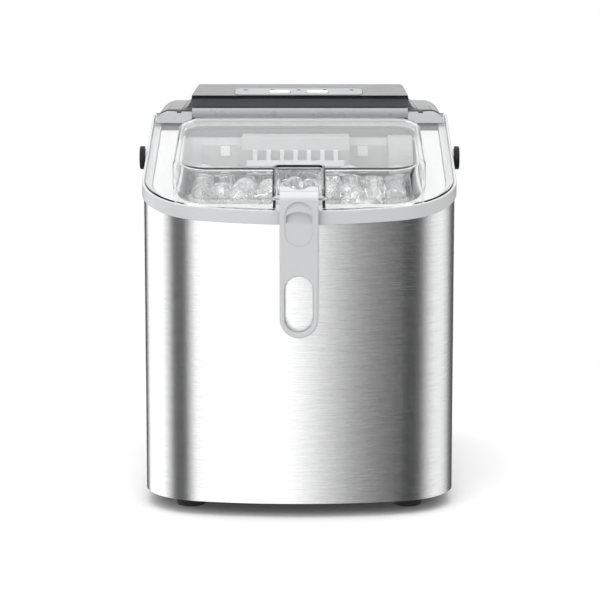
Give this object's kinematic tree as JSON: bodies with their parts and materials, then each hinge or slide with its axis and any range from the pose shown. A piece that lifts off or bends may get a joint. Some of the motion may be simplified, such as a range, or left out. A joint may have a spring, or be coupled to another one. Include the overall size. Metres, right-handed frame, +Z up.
{
  "type": "countertop ice maker",
  "caption": "Countertop bullet-ice maker: steel body with a bowed front, sloping silver bezel, clear domed lid with a pull strap, grey rear cover with controls, folding carry handle.",
  "frame": {"origin": "on the surface the ice maker stands on, under the middle of its overall box", "axes": "+Z up, the front faces -Y, +X to the right seen from the front"},
  "size_m": [0.2346, 0.31, 0.2885],
  "materials": {
    "brushed_steel": "horizontally brushed stainless steel",
    "silver_trim": "satin silver lacquer",
    "clear_lid": "clear moulded plastic",
    "grey_cover": "dark grey, semi-gloss",
    "strap_silver": "silver-grey, semi-gloss",
    "white_plastic": "white, satin",
    "liner_grey": "pale grey, satin",
    "black_plastic": "black, fine texture",
    "black_rubber": "black, matt",
    "basket_clear": "milky translucent",
    "evaporator_metal": "nickel-plated",
    "copper": "drawn copper",
    "pin_steel": "plain steel",
    "compressor_black": "black enamel",
    "condenser_fins": "mill finish",
    "zinc_plate": "zinc plated",
    "foam": "cut foam",
    "board_green": "solder mask",
    "lens": "smoked lens",
    "hose_clear": "translucent silicone",
    "rear_grey": "dark grey powder coat"
  },
  "bodies": {
    "cabinet": {"steel_wrap": "brushed_steel", "rear_panel": "rear_grey", "base_pan": "black_plastic", "foot_front_left": "black_rubber", "foot_front_right": "black_rubber", "foot_rear_left": "black_rubber", "foot_rear_right": "black_rubber", "top_bezel": "silver_trim", "inner_frame": "white_plastic", "inner_liner": "liner_grey", "insulation": "foam", "evaporator": "evaporator_metal", "evaporator_cover": "liner_grey", "ice_guard_comb": "liner_grey", "tray_bracket": "liner_grey", "tray_motor": "black_plastic", "tray_motor_cover": "liner_grey", "ice_chute": "liner_grey", "shovel_motor": "black_plastic", "ice_room_wall": "liner_grey", "ice_sensor_left": "white_plastic", "ice_sensor_right": "white_plastic", "water_pump": "black_plastic", "pump_hose": "hose_clear", "drain_hose": "hose_clear", "drain_spout": "black_plastic", "compressor": "compressor_black", "compressor_mount": "zinc_plate", "condenser": "condenser_fins", "fan_shroud": "black_plastic", "fan_motor": "zinc_plate", "filter_drier": "copper", "discharge_pipe": "copper", "suction_pipe": "copper", "rear_top_cover": "grey_cover", "control_strip": "silver_trim", "indicator_light_bar": "lens", "control_board": "board_green", "lid_hinge_pin_left": "pin_steel", "lid_hinge_pin_right": "pin_steel", "handle_pin_left": "pin_steel", "handle_pin_right": "pin_steel", "power_inlet": "black_plastic", "screw_rear_upper_left": "pin_steel", "screw_rear_upper_right": "pin_steel", "screw_rear_lower_left": "pin_steel", "screw_rear_lower_right": "pin_steel"},
    "lid": {"lid": "clear_lid", "strap_pin": "pin_steel"},
    "pull_strap": {"pull_strap": "strap_silver"},
    "carry_handle": {"carry_handle": "black_plastic", "handle_grip": "black_rubber"},
    "ice_basket": {"ice_basket": "basket_clear"},
    "water_tray": {"water_tray": "basket_clear"},
    "ice_shovel": {"ice_shovel": "liner_grey"},
    "fan_blade": {"fan_blade": "black_plastic"},
    "button_power": {"button_power": "white_plastic"},
    "button_select": {"button_select": "white_plastic"},
    "drain_cap": {"drain_cap": "black_rubber"},
    "water_float": {"water_float": "black_plastic"}
  },
  "joints": [
    {"name": "lid_hinge", "type": "hinge", "parent": "cabinet", "child": "lid", "pos_m": [0, 0.035, 0.27], "axis": [-1, 0, 0], "range_deg": [0, 110]},
    {"name": "strap_hinge", "type": "hinge", "parent": "lid", "child": "pull_strap", "pos_m": [0, -0.142, 0.227], "axis": [-1, 0, 0], "range_deg": [0, 60]},
    {"name": "handle_hinge", "type": "hinge", "parent": "cabinet", "child": "carry_handle", "pos_m": [0, -0.037, 0.2442], "axis": [1, 0, 0], "range_deg": [0, 98]},
    {"name": "basket_lift", "type": "slide", "parent": "cabinet", "child": "ice_basket", "axis": [0, 0, 1], "range_m": [0, 0.008]},
    {"name": "tray_tilt", "type": "hinge", "parent": "cabinet", "child": "water_tray", "pos_m": [-0.003, -0.009, 0.206], "axis": [1, 0, 0], "range_deg": [0, 70]},
    {"name": "shovel_slide", "type": "slide", "parent": "cabinet", "child": "ice_shovel", "axis": [0, -1, 0], "range_m": [0, 0.028]},
    {"name": "fan_spin", "type": "hinge", "parent": "cabinet", "child": "fan_blade", "pos_m": [-0.046, 0.0965, 0.098], "axis": [0, 1, 0], "continuous": true},
    {"name": "button_power_press", "type": "slide", "parent": "cabinet", "child": "button_power", "axis": [0, 0, -1], "range_m": [0, 0.001], "stiffness_N_per_m": 400},
    {"name": "button_select_press", "type": "slide", "parent": "cabinet", "child": "button_select", "axis": [0, 0, -1], "range_m": [0, 0.001], "stiffness_N_per_m": 400},
    {"name": "drain_cap_pull", "type": "slide", "parent": "cabinet", "child": "drain_cap", "axis": [0, 1, 0], "range_m": [0, 0.02]},
    {"name": "float_rise", "type": "slide", "parent": "cabinet", "child": "water_float", "axis": [0, 0, 1], "range_m": [0, 0.012]}
  ],
  "couplings": [
    {"joint": "shovel_slide", "follows": "tray_tilt", "m_per_rad": 0.0229}
  ]
}
